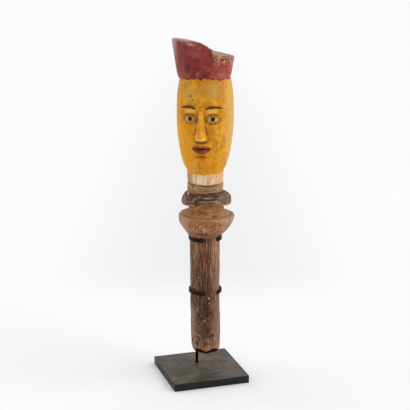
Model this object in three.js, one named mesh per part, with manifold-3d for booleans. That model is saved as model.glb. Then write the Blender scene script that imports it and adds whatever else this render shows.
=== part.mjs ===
// Dance wand: one carved and painted piece of wood, held upright by a small black steel stand.
// Millimetres, +Z up. The origin is the centre of the base plate's underside, and -Y is its front edge.

import * as THREE from 'three';
import { mergeVertices } from 'three/addons/utils/BufferGeometryUtils.js';
import Module from 'manifold-3d';

const { clamp, degToRad, lerp, radToDeg, smoothstep } = THREE.MathUtils;

// Stand
const PLATE_SIDE = 100;
const PLATE_THICKNESS = 10;
const PLATE_EDGE = 0.6;            // the broken edge round the plate
const POST_RADIUS = 1.75;
const POST_SOCKET_DEPTH = 5;       // how far the post goes into the plate
const CLEARANCE = 0.3;             // between pieces that touch
const CLIP_HEIGHT = 5;
const CLIP_THICKNESS = 2.2;
const CLIP_ROUNDING = 0.7;
const POST_BEARING = -169;         // degrees round the wand, from the plate's front
const CLIPS = [                    // from and to: the bearings of the tips, by way of the back
  { name: 'upper_clip', z: 189.1, from: -22, to: -331 },
  { name: 'lower_clip', z: 118.7, from: -16, to: -330 },
];

// The wand's place on the stand, and the way its face looks
const WAND_X = 3.5;
const WAND_Y = -8.5;
const WAND_TURN = -26.5;

// Grip and foot
const FOOT_Z = 36;
const SOLE_RADIUS = 15.4;
const CHAMFER_Z = 40.9;
const CUTS_TOP_Z = 47;             // the hacked facets of the foot end here
const CUT_DEPTH = 2;
const CUT_COUNT = 6;
const CUT_TURN = 9;
const GRIP_RADIUS = 18.8;
const FOOT_DRIFT = 1.2;            // the grip is a little crooked towards its foot
const DRIFT_TOP_Z = 100;
const RIGHT_SIDE = 99;             // degrees round the wand from its face
const WORN_GRIP = { turn: RIGHT_SIDE, z: 119, halfTurn: 50, halfHeight: 38, depth: 1.1 };

// Collar: a bowl, a waist and a ring
const BOWL_Z = 192;
const BOWL_FOOT_RADIUS = 19.8;
const BOWL_WIDEST_Z = 216;
const BOWL_RADIUS = 35.5;
const RIM_Z = 219.2;
const RIM_RADIUS = 34.9;
const WAIST_Z = 226.8;
const WAIST_TOP_Z = 231;
const WAIST_RADIUS = 22.9;
const RING_EDGE_Z = 234.8;
const RING_WIDEST_Z = 237;
const RING_RADIUS = 31.8;
const COLLAR_SHIFT = 1.5;          // bowl and ring stand a little off the grip's axis
const RIM_TILT = -0.8;             // the bowl's rim is lower on the right
const RIM_SPUR = { turn: RIGHT_SIDE, z: RIM_Z, halfTurn: 60, halfHeight: 4, depth: 1.3 };
const RING_TILT = 1.2;             // the ring's top is higher on this side
const RING_TILT_TURN = 40;
const WORN_EDGE = { turn: 18, z: RING_EDGE_Z, halfTurn: 30, halfHeight: 6, depth: 8 };
const WORN_LIFT = { turn: 15, z: RING_EDGE_Z, halfTurn: 64, halfHeight: 7, depth: 3.2 };

// Neck
const NECK_Z = 249.2;
const NECK_RADIUS = 22.8;
const NECK_SHIFT = -0.1;
const GROOVE_Z = 261.4;
const GROOVE_DEPTH = 0.8;
const NECK_TOP_Z = 278;

// Head: the face is divided in thirds from chin to cap
const CHIN_Z = 285;
const CAP_LINE_Z = 395;
const FACE_THIRD = (CAP_LINE_Z - CHIN_Z) / 3;
const NOSE_Z = CHIN_Z + FACE_THIRD;
const BROW_Z = CHIN_Z + 2 * FACE_THIRD;
const EYE_Z = BROW_Z - FACE_THIRD / 3;
const MOUTH_Z = NOSE_Z - FACE_THIRD / 3;
const HEAD_WIDTH = 71;
const EYE_WIDTH = HEAD_WIDTH / 5;
const HEAD_RADIUS = HEAD_WIDTH / 2;
const JAW_RADIUS = 28;
const TEMPLE_Z = 350;
const FOREHEAD_RADIUS = 31.3;
const FACE_DEPTH = 0.97;           // of the head's half width
const BACK_SWELL = 0.06;

// Cap
const CAP_RADIUS = 31;
const CAP_FLARE = 0.52;            // the radius grows by this times a power of the height
const CAP_FLARE_POWER = 0.75;
const CAP_LINE_DROP = 2.2;         // the cap's lower edge hangs this much lower at the sides
const CAP_TOP_Z = 440.9;
const CAP_SHIFT = -1.15;
const CAP_LEAN = 0.015;            // to the right, for each millimetre of height
const CAP_FLATNESS = 0.1;          // how much shallower than wide the cap is at its top
const CAP_ROUNDING = 2.8;
const FOLD_TURN = 9;               // the cap's fold runs this many degrees off the wand's front
const BROW = { from: -33, slope: 0.19, bend: 4 };
const STEP = { from: -4.5, slope: 0.43, bend: 4 };
const LOW_SIDE = { from: 11.5, slope: 0.182, bend: 3 };
const BACK_FALL = 2.6;             // the top is this much lower at the back
const DISH_DEPTH = 3.2;
const SCOOP = {                    // the corner that is broken away: its turns, heights and depths
  from: 26, curl: 5, edge: 4, to: 104, fade: 30, floor: 404, depth: 7, power: 1.6, lean: 3.5,
};

// Mesh steps
const ROUND_SIDES = 16;
const CLIP_STEPS = 26;
const WAND_SEGMENTS = 48;
const FRONT_DENSITY = 0.36;        // draws the segments together on the wand's front

const hill = (t) => (Math.abs(t) < 1 ? (1 - t * t) ** 2 : 0);
const bend = (value, reach) => (value + Math.hypot(value, reach)) / 2;
const onCircle = (bearing, radius) => {
  const angle = degToRad(bearing);
  return new THREE.Vector2(WAND_X + radius * Math.sin(angle), WAND_Y - radius * Math.cos(angle));
};

const blackSteel = new THREE.MeshStandardMaterial({ color: 0x1b1a19, roughness: 0.55, metalness: 0.6 });
const paintedWood = new THREE.MeshStandardMaterial({ color: 0xa9722f, roughness: 0.65, metalness: 0 });

const clipRadius = GRIP_RADIUS + CLEARANCE + CLIP_THICKNESS / 2;
const postPlace = onCircle(POST_BEARING, clipRadius + CLIP_THICKNESS / 2 + CLEARANCE + POST_RADIUS);
const postBottom = PLATE_THICKNESS - POST_SOCKET_DEPTH + CLEARANCE;
const postTop = CLIPS[0].z + CLIP_HEIGHT / 2;

// Base plate: a bevelled square with a blind hole for the post
const wasm = await Module();
wasm.setup();

function solidOf(geometry) {
  const bare = geometry.clone();
  bare.deleteAttribute('normal');
  bare.deleteAttribute('uv');
  const merged = mergeVertices(bare);
  return new wasm.Manifold(new wasm.Mesh({
    numProp: 3,
    vertProperties: new Float32Array(merged.attributes.position.array),
    triVerts: new Uint32Array(merged.index.array),
  }));
}

function geometryOf(solid) {
  const { vertProperties, triVerts } = solid.getMesh();
  const geometry = new THREE.BufferGeometry();
  geometry.setAttribute('position', new THREE.BufferAttribute(vertProperties, 3));
  geometry.setIndex(new THREE.BufferAttribute(triVerts, 1));
  geometry.computeVertexNormals();
  return geometry;
}

function basePlate() {
  const half = PLATE_SIDE / 2 - PLATE_EDGE;
  const corners = [[-1, -1], [1, -1], [1, 1], [-1, 1]];
  const square = new THREE.Shape(corners.map(([x, y]) => new THREE.Vector2(x * half, y * half)));
  const plate = new THREE.ExtrudeGeometry(square, {
    depth: PLATE_THICKNESS - 2 * PLATE_EDGE,
    bevelThickness: PLATE_EDGE,
    bevelSize: PLATE_EDGE,
    bevelSegments: 1,
  }).translate(0, 0, PLATE_EDGE);
  const holeRadius = POST_RADIUS + CLEARANCE;
  const hole = new THREE.CylinderGeometry(holeRadius, holeRadius, 2 * POST_SOCKET_DEPTH, ROUND_SIDES)
    .rotateX(Math.PI / 2)
    .translate(postPlace.x, postPlace.y, PLATE_THICKNESS);
  return geometryOf(solidOf(plate).subtract(solidOf(hole)));
}

// Post: a round rod with a small chamfer at its top
function post() {
  const chamfer = POST_RADIUS / 3;
  const profile = [
    [0, postBottom],
    [POST_RADIUS, postBottom],
    [POST_RADIUS, postTop - chamfer],
    [POST_RADIUS - chamfer, postTop],
    [0, postTop],
  ].map(([radius, z]) => new THREE.Vector2(radius, z));
  return new THREE.LatheGeometry(profile, ROUND_SIDES).rotateX(Math.PI / 2);
}

// Clips: a round-edged bar bent to a C round the grip, open at the front
class ClipPath extends THREE.Curve {
  constructor(clip) {
    super();
    this.clip = clip;
  }

  getPoint(t) {
    const { x, y } = onCircle(lerp(this.clip.from, this.clip.to, t), clipRadius);
    return new THREE.Vector3(x, y, this.clip.z);
  }
}

function barSection() {
  const [x, y] = [CLIP_HEIGHT / 2, CLIP_THICKNESS / 2];
  const corners = [[x, y], [-x, y], [-x, -y], [x, -y]];
  const points = corners.flatMap(([cx, cy]) => {
    const along = new THREE.Vector2(cx - Math.sign(cx) * CLIP_ROUNDING, cy);
    const down = new THREE.Vector2(cx, cy - Math.sign(cy) * CLIP_ROUNDING);
    return cx * cy > 0 ? [down, along] : [along, down];
  });
  return new THREE.Shape(points);
}

function clipBar(clip) {
  return new THREE.ExtrudeGeometry(barSection(), {
    steps: CLIP_STEPS,
    extrudePath: new ClipPath(clip),
    bevelEnabled: false,
  });
}

// Wand: a turned outline of straight and bent stretches, which the carving then moves
const at = (radius, z) => new THREE.Vector2(radius, z);
const straight = (from, to) => new THREE.LineCurve(from, to);
const bent = (from, control, to) => new THREE.QuadraticBezierCurve(from, control, to);
const swept = (from, first, second, to) => new THREE.CubicBezierCurve(from, first, second, to);
const capRadius = (rise) => CAP_RADIUS + CAP_FLARE * Math.max(0, rise) ** CAP_FLARE_POWER;
const capRimRadius = capRadius(CAP_TOP_Z - CAP_LINE_Z);

// Each stretch runs upwards, with the number of steps that it is divided into
function wandOutline() {
  const bowlFoot = at(BOWL_FOOT_RADIUS, BOWL_Z + 0.3);
  const bowlWidest = at(BOWL_RADIUS, BOWL_WIDEST_Z);
  const rim = at(RIM_RADIUS, RIM_Z);
  const bowlHollow = at(lerp(RIM_RADIUS, WAIST_RADIUS, 0.62), lerp(RIM_Z, WAIST_Z, 0.34));
  const waistFoot = at(WAIST_RADIUS, WAIST_Z);
  const waistTop = at(WAIST_RADIUS, WAIST_TOP_Z);
  const ringEdge = at(RING_RADIUS - 0.3, RING_EDGE_Z);
  const ringWidest = at(RING_RADIUS, RING_WIDEST_Z);
  const neckFoot = at(NECK_RADIUS, NECK_Z);
  const grooveFoot = at(NECK_RADIUS, GROOVE_Z - 1);
  const grooveTop = at(NECK_RADIUS, GROOVE_Z + 1);
  const neckTop = at(NECK_RADIUS, NECK_TOP_Z);
  const temple = at(HEAD_RADIUS, TEMPLE_Z);
  const forehead = at(FOREHEAD_RADIUS, CAP_LINE_Z);
  const capEdge = at(CAP_RADIUS, CAP_LINE_Z + 0.8);
  const capShoulder = at(capRimRadius, CAP_TOP_Z - CAP_ROUNDING);
  const capTop = at(capRimRadius - CAP_ROUNDING, CAP_TOP_Z);
  const stretches = [
    [straight(at(0, FOOT_Z), at(SOLE_RADIUS, FOOT_Z)), 2],
    [straight(at(SOLE_RADIUS, FOOT_Z), at(GRIP_RADIUS, CHAMFER_Z)), 2],
    [straight(at(GRIP_RADIUS, CHAMFER_Z), at(GRIP_RADIUS, CUTS_TOP_Z)), 1],
    [straight(at(GRIP_RADIUS, CUTS_TOP_Z), at(GRIP_RADIUS, BOWL_Z)), 6],
    [straight(at(GRIP_RADIUS, BOWL_Z), bowlFoot), 1],
    [bent(bowlFoot, at(BOWL_RADIUS, BOWL_Z + 15.5), bowlWidest), 5],
    [straight(bowlWidest, rim), 1],
    [bent(rim, bowlHollow, waistFoot), 3],
    [straight(waistFoot, waistTop), 1],
    [bent(waistTop, at(lerp(WAIST_RADIUS, RING_RADIUS, 0.3), RING_EDGE_Z), ringEdge), 2],
    [straight(ringEdge, ringWidest), 1],
    [bent(ringWidest, at(RING_RADIUS + 0.2, RING_WIDEST_Z + 9.5), neckFoot), 4],
    [straight(neckFoot, grooveFoot), 1],
    [bent(grooveFoot, at(NECK_RADIUS - 2 * GROOVE_DEPTH, GROOVE_Z), grooveTop), 2],
    [straight(grooveTop, neckTop), 2],
    [swept(neckTop, at(JAW_RADIUS, CHIN_Z - 2), at(HEAD_RADIUS, NOSE_Z - 10), temple), 23],
    [bent(temple, at(HEAD_RADIUS, TEMPLE_Z + 29), forehead), 12],
    [straight(forehead, capEdge), 1],
    [straight(capEdge, capShoulder), 5],
    [straight(capShoulder, capTop), 1],
    [straight(capTop, at(0, CAP_TOP_Z)), 4],
  ];
  return stretches.flatMap(([curve, steps], index) => curve.getSpacedPoints(steps).slice(index ? 1 : 0));
}

// The face: round mounds and hollows on the front of the head, the same on both sides of its middle
const FACE = {
  brow: { side: 13, z: BROW_Z - 1, halfWidth: 17, halfHeight: 6.5, rise: 2.4 },
  socket: { side: EYE_WIDTH, z: EYE_Z, halfWidth: 13, halfHeight: 9.5, rise: -4.6 },
  eye: { side: EYE_WIDTH, z: EYE_Z - 0.5, halfWidth: 8.6, halfHeight: 5.8, rise: 4.4 },
  innerCorner: { side: 5.5, z: EYE_Z, halfWidth: 5, halfHeight: 7, rise: -1.8 },
  nostril: { side: 6.2, z: NOSE_Z + 3.5, halfWidth: 4, halfHeight: 4.5, rise: 2 },
  cheekbone: { side: 20, z: NOSE_Z + 9, halfWidth: 14, halfHeight: 15, rise: 2.2 },
  cheekHollow: { side: 20, z: MOUTH_Z - 2, halfWidth: 13, halfHeight: 12, rise: -1.4 },
  mouth: { side: 0, z: MOUTH_Z, halfWidth: 19, halfHeight: 14, rise: 3 },
  upperLip: { side: 0, z: MOUTH_Z + 3.7, halfWidth: 13, halfHeight: 4.6, rise: 2.8 },
  lowerLip: { side: 0, z: MOUTH_Z - 4, halfWidth: 11.5, halfHeight: 4.8, rise: 3.2 },
  underLip: { side: 0, z: MOUTH_Z - 10, halfWidth: 11, halfHeight: 3.6, rise: -1.4 },
  chin: { side: 0, z: CHIN_Z + 5.5, halfWidth: 15, halfHeight: 9.5, rise: 5.2 },
};
const NOSE = { rootHeight: 2.6, tipHeight: 11.5, rootWidth: 3.6, tipWidth: 8.6, rootFade: 4, underside: 3 };

function noseRelief(x, z) {
  const down = clamp((BROW_Z - z) / (BROW_Z - NOSE_Z), 0, 1);
  const across = hill(x / lerp(NOSE.rootWidth, NOSE.tipWidth, down ** 1.4)) ** 0.6;
  const belowBrow = 1 - smoothstep(z, BROW_Z - NOSE.rootFade, BROW_Z + NOSE.rootFade);
  const aboveTip = smoothstep(z, NOSE_Z - NOSE.underside, NOSE_Z);
  return lerp(NOSE.rootHeight, NOSE.tipHeight, down) * across * aboveTip * belowBrow;
}

function faceRelief(x, z) {
  return Object.values(FACE).reduce((sum, mound) => {
    const across = (Math.abs(x) - mound.side) / mound.halfWidth;
    const along = (z - mound.z) / mound.halfHeight;
    return sum + mound.rise * hill(Math.hypot(across, along));
  }, noseRelief(x, z));
}

// The height of the cap's top across its fold: a high lobe, a step down and a lower side
function capTopHeight(x, y) {
  const across = x * Math.cos(degToRad(FOLD_TURN)) + y * Math.sin(degToRad(FOLD_TURN));
  const brow = BROW.slope * bend(across - BROW.from, BROW.bend);
  const step = STEP.slope * bend(across - STEP.from, STEP.bend);
  const lowSide = (BROW.slope + STEP.slope - LOW_SIDE.slope) * bend(across - LOW_SIDE.from, LOW_SIDE.bend);
  return CAP_TOP_Z - brow - step + lowSide - (BACK_FALL * y) / CAP_RADIUS;
}

// How much of a worn place's depth is reached at a turn and a height
function share(place, turn, z, sharpness = 1) {
  const around = hill((radToDeg(turn) - place.turn) / place.halfTurn) ** sharpness;
  return around * hill((z - place.z) / place.halfHeight);
}

function carveGrip(point, turn) {
  const low = 1 - smoothstep(point.z, FOOT_Z, CUTS_TOP_Z);
  const scallop = 0.5 - 0.5 * Math.cos(CUT_COUNT * (turn - degToRad(CUT_TURN)));
  const depth = CUT_DEPTH * low * scallop + WORN_GRIP.depth * share(WORN_GRIP, turn, point.z);
  const cut = 1 - depth / GRIP_RADIUS;
  point.x = point.x * cut + FOOT_DRIFT * (1 - smoothstep(point.z, FOOT_Z, DRIFT_TOP_Z));
  point.y *= cut;
}

// The ring's top and the neck's foot slant
const ringTilt = (turn) => RING_TILT * Math.cos(turn - degToRad(RING_TILT_TURN));

function carveCollar(point, turn) {
  const { z } = point;
  const radius = Math.hypot(point.x, point.y);
  const outward = clamp((radius - WAIST_RADIUS) / (BOWL_RADIUS - WAIST_RADIUS), 0, 1);
  const worn = WORN_EDGE.depth * share(WORN_EDGE, turn, z, 0.7);
  const spur = RIM_SPUR.depth * share(RIM_SPUR, turn, z);
  const cut = 1 - (worn - spur) / radius;
  const shift = smoothstep(z, BOWL_Z, BOWL_Z + 8) * (1 - smoothstep(z, NECK_Z - 4, NECK_Z));
  point.x = point.x * cut + COLLAR_SHIFT * shift + NECK_SHIFT * smoothstep(z, NECK_Z - 4, NECK_Z);
  point.y *= cut;
  point.z += WORN_LIFT.depth * share(WORN_LIFT, turn, z, 0.7);
  if (z < WAIST_Z) {
    point.z += RIM_TILT * smoothstep(z, BOWL_WIDEST_Z - 4, BOWL_WIDEST_Z) * outward * Math.sin(turn);
  } else {
    point.z += ringTilt(turn) * smoothstep(z, RING_EDGE_Z, RING_WIDEST_Z + 3);
  }
}

function carveNeck(point, turn) {
  const { z } = point;
  point.x += NECK_SHIFT * (1 - smoothstep(z, NECK_TOP_Z - 8, NECK_TOP_Z));
  point.z += ringTilt(turn) * (1 - smoothstep(z, NECK_Z, GROOVE_Z));
}

function carveHead(point, turn) {
  const headShare = smoothstep(point.z, NECK_TOP_Z, NECK_TOP_Z + 25);
  if (point.y < 0) {
    const facing = clamp(-point.y / HEAD_RADIUS * 2, 0, 1);
    point.y = point.y * lerp(1, FACE_DEPTH, headShare) - faceRelief(point.x, point.z) * facing;
  } else {
    point.y *= 1 + BACK_SWELL * hill((point.z - TEMPLE_Z) / (CAP_LINE_Z - TEMPLE_Z));
  }
  point.z -= CAP_LINE_DROP * Math.sin(turn) ** 2 * smoothstep(point.z, TEMPLE_Z, CAP_LINE_Z);
}

// How deep the broken scoop in the cap's front corner is, at a turn and at a share of its height
function scoopDepth(turn, rise) {
  const degrees = radToDeg(turn);
  const from = SCOOP.from - SCOOP.curl * smoothstep(rise, 0.5, 1);
  const entry = smoothstep(degrees, from, from + SCOOP.edge);
  const exit = 1 - smoothstep(degrees, SCOOP.to - SCOOP.fade, SCOOP.to);
  const depth = SCOOP.depth * rise ** SCOOP.power + SCOOP.lean * smoothstep(rise, 0.7, 1);
  return depth * entry * exit;
}

function carveCap(point, turn) {
  const radius = Math.hypot(point.x, point.y);
  const onTop = point.z > CAP_TOP_Z - CAP_ROUNDING / 2;
  const reach = onTop ? radius : capRimRadius;
  const top = capTopHeight(reach * Math.sin(turn), -reach * Math.cos(turn));
  const rise = (point.z - CAP_LINE_Z) / (CAP_TOP_Z - CAP_LINE_Z);
  const line = CAP_LINE_Z - CAP_LINE_DROP * Math.sin(turn) ** 2;
  const z = lerp(line, top, rise);
  const scoop = scoopDepth(turn, clamp((z - SCOOP.floor) / (top - SCOOP.floor), 0, 1));
  const side = capRadius(z - line) - scoop;
  const inward = onTop ? radius / (capRimRadius - CAP_ROUNDING) : 1;
  const carved = onTop ? (side - CAP_ROUNDING) * inward : side;
  const flush = 1 - (1 - FACE_DEPTH) * Math.max(Math.cos(turn), 0) * (1 - rise);
  point.x = carved * Math.sin(turn) + CAP_SHIFT + CAP_LEAN * (z - line);
  point.y = -carved * Math.cos(turn) * flush * (1 - CAP_FLATNESS * rise);
  point.z = z - DISH_DEPTH * (1 - inward ** 4);
}

function carve(point, turn) {
  if (point.z <= BOWL_Z) {
    carveGrip(point, turn);
  } else if (point.z < NECK_Z) {
    carveCollar(point, turn);
  } else if (point.z <= NECK_TOP_Z) {
    carveNeck(point, turn);
  } else if (point.z <= CAP_LINE_Z) {
    carveHead(point, turn);
  } else {
    carveCap(point, turn);
  }
}

function wandGeometry() {
  const geometry = new THREE.LatheGeometry(wandOutline(), WAND_SEGMENTS).rotateX(Math.PI / 2);
  const position = geometry.attributes.position;
  const point = new THREE.Vector3();
  for (let i = 0; i < position.count; i += 1) {
    point.fromBufferAttribute(position, i);
    const radius = Math.hypot(point.x, point.y);
    const evenTurn = Math.atan2(point.x, -point.y);
    const turn = evenTurn - FRONT_DENSITY * Math.sin(evenTurn);
    point.set(radius * Math.sin(turn), -radius * Math.cos(turn), point.z);
    carve(point, turn);
    position.setXYZ(i, point.x, point.y, point.z);
  }
  geometry.computeVertexNormals();
  return geometry;
}

function named(name, geometry, material) {
  const mesh = new THREE.Mesh(geometry, material);
  mesh.name = name;
  return mesh;
}

const wand = named('wand', wandGeometry(), paintedWood);
wand.position.set(WAND_X, WAND_Y, 0);
wand.rotation.z = degToRad(WAND_TURN);

const rod = named('post', post(), blackSteel);
rod.position.set(postPlace.x, postPlace.y, 0);

const model = new THREE.Group();
model.add(wand, named('base_plate', basePlate(), blackSteel), rod);
CLIPS.forEach((clip) => model.add(named(clip.name, clipBar(clip), blackSteel)));

export default model;
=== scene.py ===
"""The looks of a carved and painted dance wand on its small steel stand."""
import math
from functools import reduce

import bmesh
import bpy
import numpy as np
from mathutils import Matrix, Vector


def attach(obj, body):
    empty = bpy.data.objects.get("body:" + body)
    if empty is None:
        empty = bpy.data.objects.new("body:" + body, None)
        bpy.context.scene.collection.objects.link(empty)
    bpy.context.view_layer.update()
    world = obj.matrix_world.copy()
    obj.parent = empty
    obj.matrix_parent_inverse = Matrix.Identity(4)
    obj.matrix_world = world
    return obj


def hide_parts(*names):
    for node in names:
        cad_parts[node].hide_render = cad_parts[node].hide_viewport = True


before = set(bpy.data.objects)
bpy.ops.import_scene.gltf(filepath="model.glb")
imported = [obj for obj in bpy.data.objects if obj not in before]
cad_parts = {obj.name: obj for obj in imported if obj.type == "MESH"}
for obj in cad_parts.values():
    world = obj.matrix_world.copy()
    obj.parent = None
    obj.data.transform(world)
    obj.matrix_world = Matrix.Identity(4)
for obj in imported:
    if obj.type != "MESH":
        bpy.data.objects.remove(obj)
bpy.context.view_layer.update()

MM = 0.001

# The stand, in mm, with each clip's height and the bearings of its two tips
PLATE_SIDE = 100
PLATE_THICKNESS = 10
PLATE_EDGE = 0.6
POST_RADIUS = 1.75
POST_BEARING = -169
POST_CHAMFER = 0.6
CLEARANCE = 0.3
CLIP_HEIGHT = 5
CLIP_THICKNESS = 2.2
CLIP_TIP = 1.6
CLIPS = {"upper_clip": (189.1, -22, -331), "lower_clip": (118.7, -16, -330)}

# The beads of braze on the post
PLATE_BEAD = 0.5
PLATE_BEAD_HEIGHT = 1.5
CLIP_BEAD = 0.75
CLIP_BEAD_REACH = 4.6

# The wand, in mm and degrees: its place, grip and foot
WAND_X = 3.5
WAND_Y = -8.5
WAND_TURN = -26.5
FOOT_Z = 36
SOLE_RADIUS = 15.4
CHAMFER_Z = 40.9
CUTS_TOP_Z = 47
CUT_DEPTH = 2
CUT_COUNT = 6
CUT_TURN = 9
CUT_EDGE_Z = (39.8, 43.4)  # the cuts' dark upper edge rises and falls between these
GRIP_RADIUS = 18.8
FOOT_DRIFT = 1.2
DRIFT_TOP_Z = 100

# Collar: a bowl, a waist and a ring
BOWL_Z = 192
BOWL_FOOT_RADIUS = 19.8
BOWL_WIDEST_Z = 216
BOWL_RADIUS = 35.5
RIM_Z = 219.2
RIM_RADIUS = 34.9
WAIST_Z = 226.8
WAIST_TOP_Z = 231
WAIST_RADIUS = 22.9
RING_EDGE_Z = 234.8
RING_WIDEST_Z = 237
RING_RADIUS = 31.8
COLLAR_SHIFT = 1.5
RIM_TILT = -0.8
RING_TILT = 1.2
RING_TILT_TURN = 40

# Places where the wood is worn away, drawn out or lifted: turn, z, half turn, half height, depth
WORN_SIDE = (99, 119, 50, 38, 1.1)
RIM_SPUR = (99, RIM_Z, 60, 4, 1.3)
WORN_EDGE = (18, RING_EDGE_Z, 30, 6, 8)
WORN_LIFT = (15, RING_EDGE_Z, 64, 7, 3.2)
HANGING_LIP = (-12, RING_EDGE_Z - 0.5, 8, 4, 4)
BROAD_WEAR = 0.7  # the power that keeps the ring's worn edge deep over most of its turn

# Neck and head
NECK_Z = 249.2
NECK_RADIUS = 22.8
NECK_SHIFT = -0.1
GROOVE_Z = 261.4
GROOVE_DEPTH = 0.8
NECK_TOP_Z = 278
CHIN_Z = 285
CAP_LINE_Z = 395
FACE_THIRD = (CAP_LINE_Z - CHIN_Z) / 3
NOSE_Z = CHIN_Z + FACE_THIRD
BROW_Z = CHIN_Z + 2 * FACE_THIRD
EYE_Z = BROW_Z - FACE_THIRD / 3
MOUTH_Z = NOSE_Z - FACE_THIRD / 3
HEAD_RADIUS = 35.5
EYE_WIDTH = 2 * HEAD_RADIUS / 5
JAW_RADIUS = 28
TEMPLE_Z = 350
FOREHEAD_RADIUS = 31.3
FACE_DEPTH = 0.97
BACK_SWELL = 0.06

# Drying cracks in the neck's pale band: turn, foot, top and drift
CRACKS = [(14.5, 262, 279, 0.5), (-24, 266, 276, 0.9), (46, 264, 275, 0.7)]

# Cap
CAP_RADIUS = 31
CAP_FLARE = 0.52
CAP_FLARE_POWER = 0.75
CAP_LINE_DROP = 2.2
CAP_TOP_Z = 440.9
CAP_SHIFT = -1.15
CAP_LEAN = 0.015
CAP_FLATNESS = 0.1
CAP_ROUNDING = 2.8
FOLD_TURN = 9
BROW_EDGE = -33
BROW_SLOPE = 0.19
STEP_TOP = -4.5
STEP_FOOT = 11.5
STEP_SLOPE = 0.43
STEP_BEND = 4
LOW_SIDE_SLOPE = 0.182
LOW_SIDE_BEND = 3
BACK_FALL = 2.6
DISH_DEPTH = 3.2
DISH_POWER = 9
SCOOP_FROM = 26
SCOOP_TO = 104
SCOOP_CURL = 5
SCOOP_EDGE = 3
SCOOP_FADE = 30
SCOOP_FLOOR = 404
SCOOP_DEPTH = 7
SCOOP_POWER = 1.6
SCOOP_LEAN = 3.5
CAP_RIM_RADIUS = CAP_RADIUS + CAP_FLARE * (CAP_TOP_Z - CAP_LINE_Z) ** CAP_FLARE_POWER

# The steps of the wand's mesh
COLUMNS = 216
FRONT_DENSITY = 0.45

# The floor: its radius in metres, its colours, the nearest one a painted shade round the object, and half
# the width and depth of that grey painted shade in mm
FLOOR_RADIUS = 6
FLOOR_NEAR = (0.69, 0.69, 0.693, 1)
FLOOR_FAR = (0.775, 0.775, 0.775, 1)
FLOOR_FRONT = (0.775, 0.775, 0.785, 1)
GREY_WIDTH = 320
GREY_DEPTH = 4600

# The lights: bearing from the camera, elevation, spread and strength
LIGHTS = {"right": (75, 35, 50, 0.5), "left": (-105, 30, 60, 0.28), "top": (180, 70, 60, 0.36)}
SURROUND_STRENGTH = 0.5

# The photograph's camera
VIEW_AZIMUTH = -17.45
VIEW_ELEVATION = 14.72
VIEW_DISTANCE = 1.5
VIEW_SIDESTEP = 0.0056
VIEW_TARGET_Z = 0.2289
LENS = 103.65


def lerp(a, b, t):
    return a + (b - a) * t


def smooth(value, low, high):
    """0 below low, 1 above high and an even S between them."""
    t = np.clip((value - low) / (high - low), 0, 1)
    return t * t * (3 - 2 * t)


def hill(t):
    """A round bump, 1 high at t = 0 and 0 from t = 1 outwards."""
    return np.where(np.abs(t) < 1, (1 - np.minimum(np.abs(t), 1) ** 2) ** 2, 0)


def worn(place, degrees, z, power=1):
    """How deep a worn place is at each turn and height, in mm."""
    turn, middle, half_turn, half_height, depth = place
    return depth * hill((degrees - turn) / half_turn) ** power * hill((z - middle) / half_height)


def wobble(points, size, seed, waves=12):
    """A smooth uneven field round zero, with hills about as large as size along x, y and z."""
    rng = np.random.default_rng(seed)
    field = np.zeros(points.shape[:-1])
    for _ in range(waves):
        direction = rng.normal(size=3)
        direction *= 2 * math.pi * rng.uniform(0.5, 1.1) / np.linalg.norm(direction)
        field += np.sin((points / np.array(size)) @ direction + rng.uniform(0, 2 * math.pi))
    return field * math.sqrt(2 / waves)


def grid_mesh(name, points, attributes=None):
    """A closed mesh from rows of points in mm, the first and last row each drawn together to one point."""
    rows, columns = points.shape[:2]
    ring = np.arange(columns)
    after = (ring + 1) % columns
    first, last = 0, (rows - 2) * columns + 1
    corners = np.concatenate([points[:1, 0], points[1:-1].reshape(-1, 3), points[-1:, 0]])
    faces = [(first, 1 + b, 1 + a) for a, b in zip(ring, after)]
    for row in range(rows - 3):
        low = 1 + row * columns
        faces += [(low + a, low + b, low + columns + b, low + columns + a) for a, b in zip(ring, after)]
    top = last - columns
    faces += [(top + a, top + b, last) for a, b in zip(ring, after)]
    mesh = bpy.data.meshes.new(name)
    mesh.from_pydata((corners * MM).tolist(), [], [tuple(map(int, face)) for face in faces])
    for key, values in (attributes or {}).items():
        flat = np.concatenate([values[:1, 0], values[1:-1].reshape(-1), values[-1:, 0]])
        layer = mesh.attributes.new(key, "FLOAT", "POINT")
        layer.data.foreach_set("value", flat.astype(np.float32))
    mesh.shade_smooth()
    return mesh


def in_scene(name, data):
    """A new object in the scene."""
    thing = bpy.data.objects.new(name, data)
    bpy.context.scene.collection.objects.link(thing)
    return thing


def add_piece(name, mesh, material, node, crease=40):
    """Puts a piece in the scene in place of a CAD node."""
    mesh.set_sharp_from_angle(angle=math.radians(crease))
    mesh.materials.append(material)
    piece = in_scene(name, mesh)
    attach(piece, "root")
    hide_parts(node)


def on_circle(bearing, radius):
    """The point at a bearing from the plate's front and a distance from the wand's axis."""
    angle = np.radians(bearing)
    return WAND_X + radius * np.sin(angle), WAND_Y - radius * np.cos(angle)


# Wand: the turned outline
def curve(steps, *controls):
    """A Bezier curve through any number of control points, without its first point."""
    t = np.linspace(0, 1, steps + 1)[1:, None]
    level = [np.array(point, float) for point in controls]
    while len(level) > 1:
        level = [a + (b - a) * t for a, b in zip(level, level[1:])]
    return level[0]


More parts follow.
